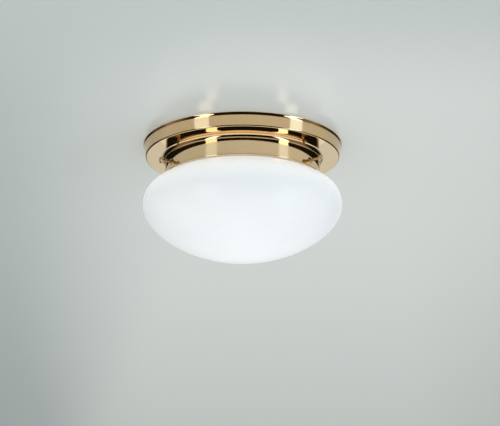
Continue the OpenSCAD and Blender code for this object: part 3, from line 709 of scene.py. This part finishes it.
def rolled_cap():
    """The cap's skin: a soft thread, joined to the ring round the insulator and to the plain skirt."""
    wave = [(cap_r - cap_depth * (1 - math.cos(math.tau * i / cap_wave_points)) / 2, i / cap_wave_points)
            for i in range(cap_wave_points + 1)]
    cap = spun_thread(wave, cap_pitch, cap_foot, cap_thread_start, cap_thread_end, cap_steps)
    middle = (cap_thread_start + cap_thread_end) / 2 * MM
    open_edges = [e for e in cap.edges if e.is_boundary]
    low = [e for e in open_edges if e.verts[0].co.z < middle]
    high = [e for e in open_edges if e.verts[0].co.z > middle]
    rings = []
    for radius, at in ((cap_foot_r, cap_foot), (skirt_r, skirt_start), (skirt_r, skirt_end)):
        ring = bmesh.ops.create_circle(
            cap, segments=cap_steps, radius=radius * MM, matrix=Matrix.Translation((0, 0, at * MM)))
        rings.append([e for e in cap.edges if e.verts[0] in ring["verts"]])
    foot, skirt_top, skirt_bottom = rings
    bmesh.ops.bridge_loops(cap, edges=low + foot)
    bmesh.ops.bridge_loops(cap, edges=high + skirt_top)
    bmesh.ops.bridge_loops(cap, edges=skirt_top + skirt_bottom)
    return cap


def envelope_face(inset):
    """One face of the bulb's glass from its neck to its far end, moved in by inset."""
    neck = envelope_r - inset
    widen = bulb_r * neck_join[0] - envelope_r
    climb = bulb_centre - bulb_r * neck_join[1] - envelope_neck_end
    face = [(neck, envelope_start), (neck, envelope_neck_end)]
    for i in range(1, neck_rows):
        t = i / neck_rows
        face.append((neck + widen * (1 - math.cos(math.pi * t)) / 2, envelope_neck_end + climb * t))
    return face + arc((0, bulb_centre), bulb_r - inset, -20, 90, steps=28)


def bulb_piece(name, maker, material, node, sharp, body="bulb"):
    """Lays a piece that was made on z on the bulb's axis and gives it its body."""
    bmesh.ops.transform(maker, matrix=bulb_place, verts=maker.verts)
    piece = smooth_object(name, maker, material, sharp)
    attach(piece, body)
    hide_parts(node)
    return piece


cap = bulb_piece("rolled_cap", rolled_cap(), cap_metal, "bulb_cap", cap_sharp)
wall = cap.modifiers.new("sheet", "SOLIDIFY")
wall.thickness = cap_sheet * MM
wall.offset = -1
insulator_outline = [(0, insulator_start), (insulator_flat_r, insulator_start)]
insulator_outline += arc((insulator_flat_r, cap_foot), insulator_round, -80, -20, steps=6)
insulator_outline += [(insulator_r, cap_foot), (insulator_r, insulator_end), (0, insulator_end)]
bulb_piece("tip_insulator", spin_outline(insulator_outline, steps=64),
           black_glass, "bulb_insulator", insulator_sharp)
bulb_piece("tip_contact", spin_outline(contact_dome, steps=48),
           solder, "bulb_contact", contact_sharp, "bulb_tip")
envelope_outline = envelope_face(0) + envelope_face(envelope_wall)[::-1]
bulb_piece("frosted_envelope", spin_outline(envelope_outline, steps=96),
           frosted_glass, "bulb_envelope", envelope_sharp)
dress("bulb_stem", clear_glass)
dress("bulb_leads", nickel_wire)


# Filament
# A coil of fine wire that hangs in a half circle between the bulb's two leads. The real wire is tungsten of
# about 0.05 mm and is drawn 0.14 mm thick, so that its coil shows.
filament_r = 11.0
filament_at = 72.0
filament_wire_r = 0.07
coil_r = 0.42
coil_turns = 70
coil_steps = 10

coil = []
for i in range(coil_turns * coil_steps + 1):
    sweep = math.pi * i / (coil_turns * coil_steps)
    twist = math.tau * i / coil_steps
    spread = filament_r + coil_r * math.cos(twist)
    rise = filament_at + coil_r * math.sin(twist)
    on_z = Vector((spread * math.cos(sweep), spread * math.sin(sweep), rise))
    coil.append(bulb_place.to_3x3() @ on_z + Vector((tip_x, 0, bulb_z)))
filament = wire_object("coiled_filament", coil, filament_wire_r, nickel_wire, roundness=1)
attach(filament, "bulb")
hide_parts("bulb_filament")


# Ceiling
# The lamp hangs from a wide, pale, painted ceiling. A round hole in it, under the canopy, leaves the lamp's
# back open. From above it can't be seen, so the lamp can be looked at from there too.

# The room's sizes are in metres
ceiling_hole = 0.1245
ceiling_z = 0.0002
ceiling_rings = (0.2, 0.5, 1.5, 7.0)

ceiling_maker = bmesh.new()
ring = bmesh.ops.create_circle(ceiling_maker, segments=128, radius=ceiling_hole,
                               matrix=Matrix.Translation((0, 0, ceiling_z)))
rim = [e for e in ceiling_maker.edges if e.verts[0] in ring["verts"]]
for radius in ceiling_rings:
    grown = bmesh.ops.extrude_edge_only(ceiling_maker, edges=rim)
    rim = [g for g in grown["geom"] if isinstance(g, bmesh.types.BMEdge)]
    for vert in [g for g in grown["geom"] if isinstance(g, bmesh.types.BMVert)]:
        vert.co.xy = vert.co.xy.normalized() * radius
bmesh.ops.recalc_face_normals(ceiling_maker, faces=ceiling_maker.faces)
if sum(f.normal.z for f in ceiling_maker.faces) > 0:
    bmesh.ops.reverse_faces(ceiling_maker, faces=ceiling_maker.faces)

# Eggshell paint has a faint sheen, in which the ceiling beside the canopy is a little brighter. Painted
# shade stands in for the light falling off across it: it is whitest on the right and darkens along a slanting
# line on the left and again towards the camera. Each fade gives its two ends in metres, and the white that is
# left at its dark end
line_slant = 0.2
left_shade_fade = (-0.42, 0.02)
left_shade_white = 0.66
near_shade_fade = (-0.42, -0.13)
near_shade_white = 0.79
ceiling_paint, tree, shader = new_material("ceiling_paint_and_painted_shade", Roughness=0.2)
place = add_node(tree, "ShaderNodeTexCoord").outputs["Object"]
across = add_node(tree, "ShaderNodeSeparateXYZ", {0: place}).outputs
slanted = add_node(tree, "ShaderNodeMath", {
    0: across["Y"], 1: line_slant, 2: across["X"]}, operation="MULTIPLY_ADD")
left = add_node(tree, "ShaderNodeMapRange", {
    "Value": slanted.outputs[0], "From Min": left_shade_fade[0], "From Max": left_shade_fade[1],
    "To Min": left_shade_white, "To Max": 1.0}, interpolation_type="SMOOTHSTEP")
near = add_node(tree, "ShaderNodeMapRange", {
    "Value": across["Y"], "From Min": near_shade_fade[0], "From Max": near_shade_fade[1],
    "To Min": near_shade_white, "To Max": left.outputs["Result"]}, interpolation_type="SMOOTHSTEP")
# The painted shade's dark end is a teal, so the shaded ceiling reads cool
paint = add_node(tree, "ShaderNodeMix", {
    0: near.outputs["Result"], 6: linear("#00625C"), 7: linear("#D9DCD9")}, data_type="RGBA")
tree.links.new(paint.outputs[2], shader.inputs["Base Color"])
seen_from_above = add_node(tree, "ShaderNodeNewGeometry").outputs["Backfacing"]
nothing = add_node(tree, "ShaderNodeBsdfTransparent")
either = add_node(tree, "ShaderNodeMixShader", {
    0: seen_from_above, 1: shader.outputs[0], 2: nothing.outputs[0]})
tree.links.new(either.outputs[0], tree.nodes["Material Output"].inputs["Surface"])

ceiling_mesh = bpy.data.meshes.new("ceiling")
ceiling_maker.to_mesh(ceiling_mesh)
ceiling_maker.free()
ceiling_mesh.materials.append(ceiling_paint)
ceiling = bpy.data.objects.new("ceiling", ceiling_mesh)
bpy.context.collection.objects.link(ceiling)


# Backdrop and light
# A plain pale backdrop lies all round, and the camera, metal and glass show it. The light that falls on the
# lamp is soft and even, as from large white screens.
backdrop_colour = "#DCE3E2"
backdrop_strength = 1.0
soft_light_colour = "#FBFBFA"
soft_light_strength = 0.95

world = bpy.data.worlds.new("studio")
bpy.context.scene.world = world
world.use_nodes = True
tree = world.node_tree
tree.nodes.clear()
rays = add_node(tree, "ShaderNodeLightPath").outputs
camera_or_mirror = add_node(tree, "ShaderNodeMath", {
    0: rays["Is Camera Ray"], 1: rays["Is Glossy Ray"]}, operation="MAXIMUM")
shows_backdrop = add_node(tree, "ShaderNodeMath", {
    0: camera_or_mirror.outputs[0], 1: rays["Is Transmission Ray"]}, operation="MAXIMUM")
soft_light = add_node(tree, "ShaderNodeBackground", {
    "Color": linear(soft_light_colour), "Strength": soft_light_strength})
backdrop = add_node(tree, "ShaderNodeBackground", {
    "Color": linear(backdrop_colour), "Strength": backdrop_strength})
shown = add_node(tree, "ShaderNodeMixShader", {
    0: shows_backdrop.outputs[0], 1: soft_light.outputs[0], 2: backdrop.outputs[0]})
add_node(tree, "ShaderNodeOutputWorld", {0: shown.outputs[0]})
# The light is even all round, so no direction of it needs to be searched for
world.cycles.sampling_method = "NONE"


# Dark hangings
# Polished metal is photographed between dark cloths, which give it deep, hard-edged tones. These stand
# 12 m away all round and show only in reflections. They are open behind the lamp, and the warm light on
# the room's floor and walls before them is painted onto the cloths as a glow. No floor or wall is built
hanging_r = 12.0
# Heights are the sine of the angle above the lamp's level, and turns are degrees from straight behind it.
# Each pair of them is where a fade begins and ends
gap_turns = (8, 32)
gap_heights = (-0.08, -0.3)
# The share of the backdrop that shows through the gap, at each of its heights, and through the cloths
gap_open = (0.55, 0.88)
cloth_open = 0.01
side_floor_end = (-0.42, -0.37)
side_wall_start = (-0.32, -0.27)
side_painted_light = 0.32
front_wall_start = (-0.2, -0.14)
front_painted_light = 0.55
side_to_front = (85, 115)
dark_to_side = (58, 90)

hangings = bpy.data.materials.new("dark_hangings")
hangings.use_nodes = True
tree = hangings.node_tree
tree.nodes.clear()
place = add_node(tree, "ShaderNodeTexCoord").outputs["Object"]
towards = add_node(tree, "ShaderNodeVectorMath", {0: place}, operation="NORMALIZE")
way = add_node(tree, "ShaderNodeSeparateXYZ", {0: towards.outputs[0]}).outputs
turn = add_node(tree, "ShaderNodeMath", {0: way["X"], 1: way["Y"]}, operation="ARCTAN2")
aside = add_node(tree, "ShaderNodeMath", {0: turn.outputs[0]}, operation="ABSOLUTE").outputs[0]
# Behind the lamp, the gap between the cloths is clearest low down
low = add_node(tree, "ShaderNodeMapRange", {
    "Value": way["Z"], "From Min": gap_heights[0], "From Max": gap_heights[1],
    "To Min": gap_open[0], "To Max": gap_open[1]})
opening = add_node(tree, "ShaderNodeMapRange", {
    "Value": aside, "From Min": math.radians(gap_turns[0]), "From Max": math.radians(gap_turns[1]),
    "To Min": low.outputs["Result"], "To Max": cloth_open})
# To the sides, painted warm light stands for light on the floor and on the wall above a dark strip
side_floor = add_node(tree, "ShaderNodeMapRange", {
    "Value": way["Z"], "From Min": side_floor_end[0], "From Max": side_floor_end[1],
    "To Min": side_painted_light, "To Max": 0.0})
side_wall = add_node(tree, "ShaderNodeMapRange", {
    "Value": way["Z"], "From Min": side_wall_start[0], "From Max": side_wall_start[1],
    "To Min": 0.0, "To Max": side_painted_light})
sides = add_node(tree, "ShaderNodeMath", {
    0: side_floor.outputs["Result"], 1: side_wall.outputs["Result"]}, operation="ADD")
# In front, the painted light is on the wall alone, above a dark floor
front_wall = add_node(tree, "ShaderNodeMapRange", {
    "Value": way["Z"], "From Min": front_wall_start[0], "From Max": front_wall_start[1],
    "To Min": 0.0, "To Max": front_painted_light})
to_front = add_node(tree, "ShaderNodeMapRange", {
    "Value": aside, "From Min": math.radians(side_to_front[0]),
    "From Max": math.radians(side_to_front[1])})
around = add_node(tree, "ShaderNodeMix", {
    0: to_front.outputs["Result"], 2: sides.outputs[0], 3: front_wall.outputs["Result"]})
warmth = add_node(tree, "ShaderNodeMapRange", {
    "Value": aside, "From Min": math.radians(dark_to_side[0]),
    "From Max": math.radians(dark_to_side[1]), "To Min": 0.0, "To Max": around.outputs[0]})
painted_warm_light = add_node(tree, "ShaderNodeEmission", {
    "Color": linear("#FFEBC6"), "Strength": warmth.outputs["Result"]})
# Light on its way from polished metal to a matt face isn't darkened by them
rays = add_node(tree, "ShaderNodeLightPath").outputs
clear = add_node(tree, "ShaderNodeMath", {
    0: opening.outputs["Result"], 1: rays["Diffuse Depth"]}, operation="MAXIMUM")
nothing = add_node(tree, "ShaderNodeBsdfTransparent")
hung = add_node(tree, "ShaderNodeMixShader", {
    0: clear.outputs[0], 1: painted_warm_light.outputs[0], 2: nothing.outputs[0]})
add_node(tree, "ShaderNodeOutputMaterial", {0: hung.outputs[0]})
# They are no lamp: only what mirrors them takes light from them
hangings.cycles.emission_sampling = "NONE"

hanging_maker = bmesh.new()
bmesh.ops.create_uvsphere(hanging_maker, u_segments=48, v_segments=24, radius=hanging_r)
hanging_mesh = bpy.data.meshes.new("hangings")
hanging_maker.to_mesh(hanging_mesh)
hanging_maker.free()
hanging_mesh.materials.append(hangings)
hanging = bpy.data.objects.new("hangings", hanging_mesh)
bpy.context.collection.objects.link(hanging)
hanging.visible_camera = False
hanging.visible_diffuse = False
hanging.visible_transmission = False
hanging.visible_shadow = False


# Windows
# Two tall windows stand in front of the lamp, one to each side. They give the two bright streaks on each
# brass band and the pale streaks on the ceiling, and the camera doesn't show them.
window_distance = 2.5
window_top = -0.1
window_bottom = -3.0
# Each one's turn from straight in front in degrees, width in metres, strength and colour
windows = ((-43, 0.75, 1.9, "#E2EFF0"), (63.5, 0.68, 2.35, "#D8F0FF"))

for number, (turn, width, strength, colour) in enumerate(windows, 1):
    a = math.radians(turn - 90)
    centre = Vector((math.cos(a), math.sin(a), 0)) * window_distance
    across = Vector((-math.sin(a), math.cos(a), 0)) * width / 2
    corners = ((-1, window_bottom), (1, window_bottom), (1, window_top), (-1, window_top))
    pane = bmesh.new()
    pane.faces.new([pane.verts.new(centre + across * side + Vector((0, 0, z))) for side, z in corners])
    mesh = bpy.data.meshes.new("window_%d" % number)
    pane.to_mesh(mesh)
    pane.free()
    glow = bpy.data.materials.new("window_light_%d" % number)
    glow.use_nodes = True
    glow.node_tree.nodes.clear()
    shine = add_node(glow.node_tree, "ShaderNodeEmission", {"Color": linear(colour), "Strength": strength})
    add_node(glow.node_tree, "ShaderNodeOutputMaterial", {0: shine.outputs[0]})
    mesh.materials.append(glow)
    window = bpy.data.objects.new("window_%d" % number, mesh)
    bpy.context.collection.objects.link(window)
    window.visible_camera = False


# View transform
# Colours show as they are written.
bpy.context.scene.view_settings.view_transform = "Standard"
